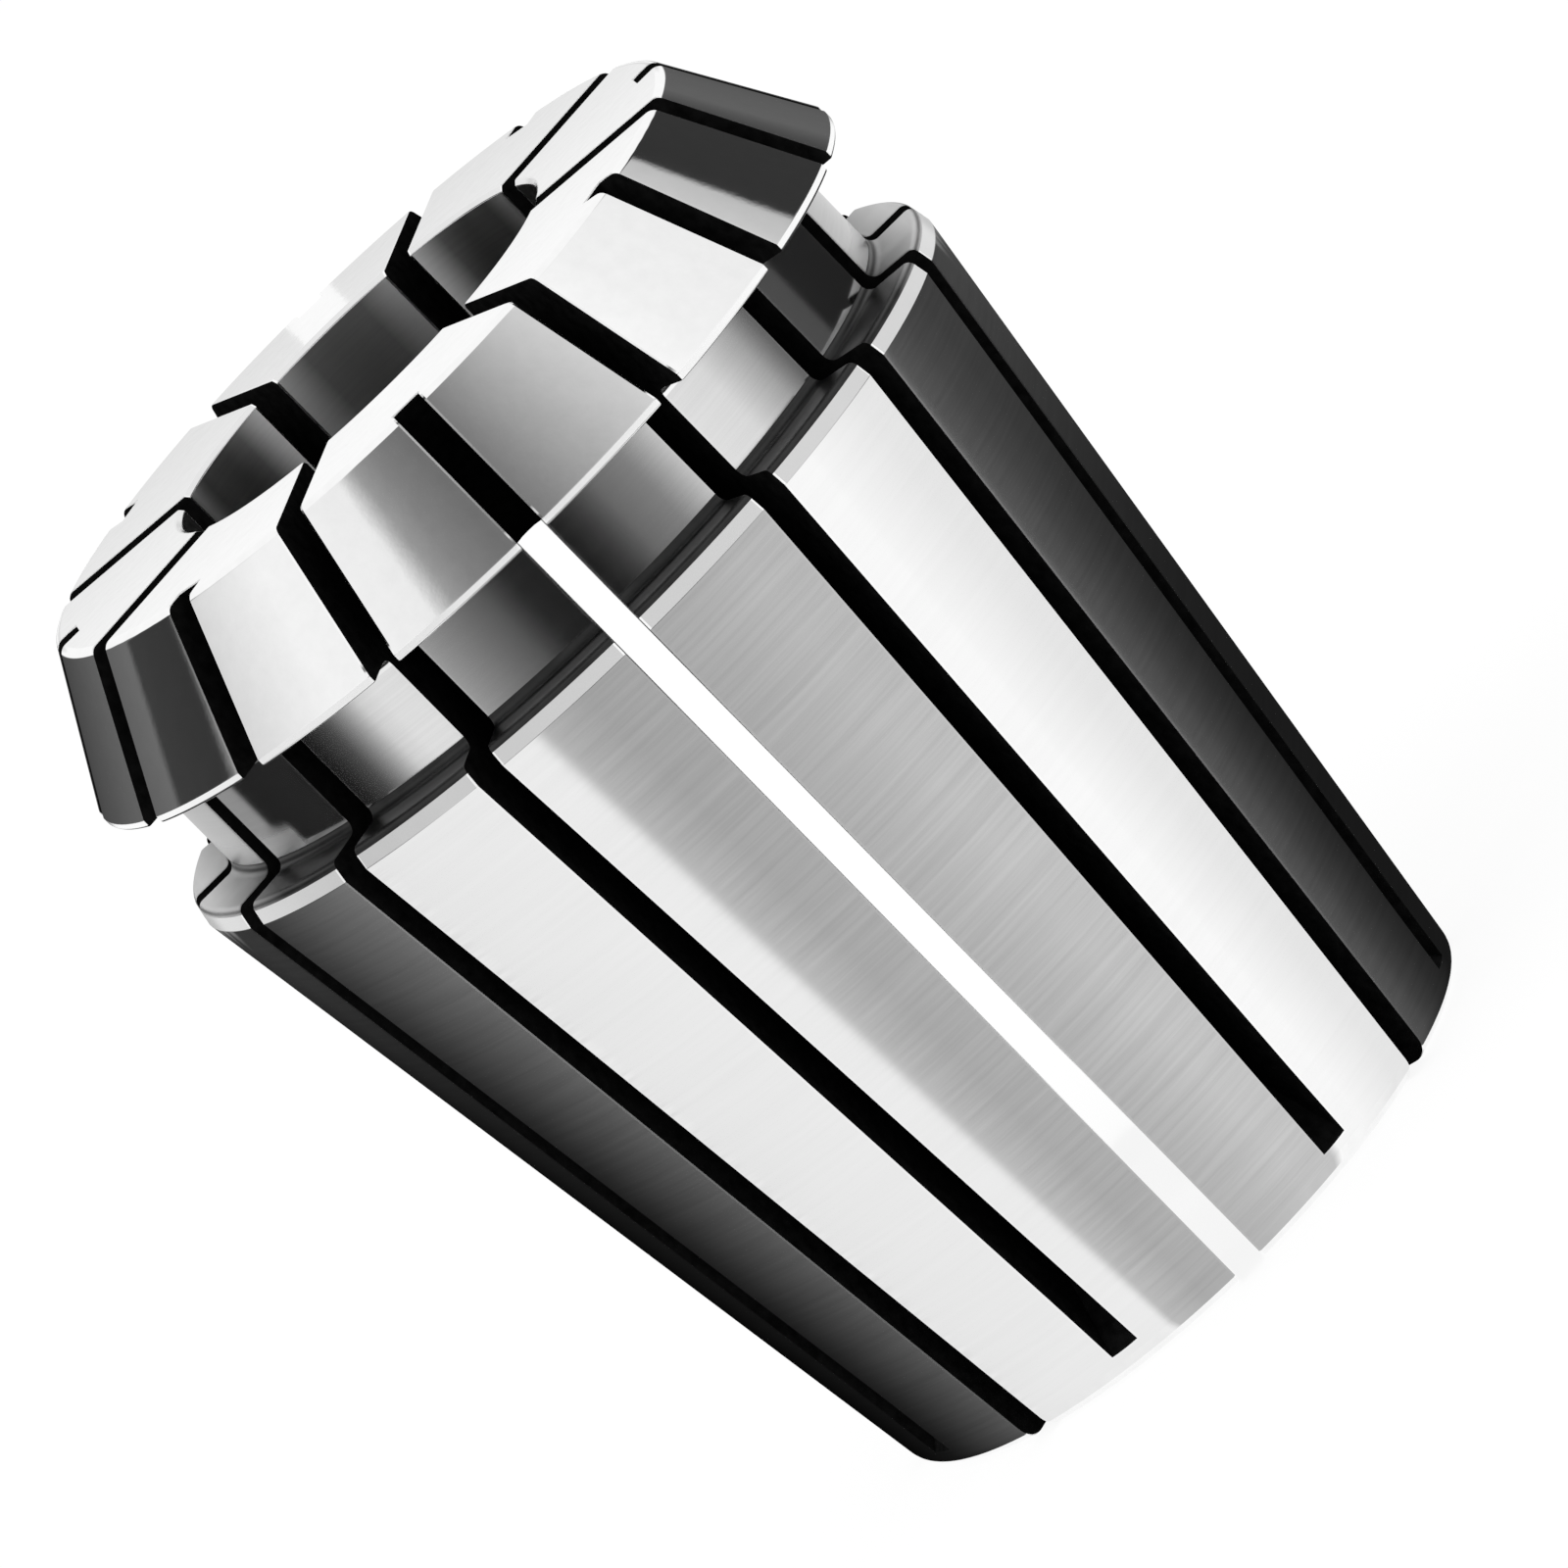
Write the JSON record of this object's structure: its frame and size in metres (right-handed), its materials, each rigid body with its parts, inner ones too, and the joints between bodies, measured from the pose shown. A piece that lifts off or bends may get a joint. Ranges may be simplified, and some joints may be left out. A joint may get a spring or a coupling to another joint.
{
  "type": "er collet",
  "caption": "slotted round steel clamping sleeve with a plain bore, long outer taper, extraction groove and short conical nose; opposed thin saw cuts from both ends",
  "frame": {"origin": "centre of the flat back face, which is the small end of the long taper; the part stands on it", "axes": "+Z along the bore axis from the back face to the nose; +X through the middle of one of the slots cut from the back"},
  "size_m": [0.033, 0.033, 0.04],
  "materials": {
    "ground_steel": "hardened and ground bright, fine grinding lines round the taper"
  },
  "bodies": {
    "root": {"collet": "ground_steel"}
  },
  "joints": []
}
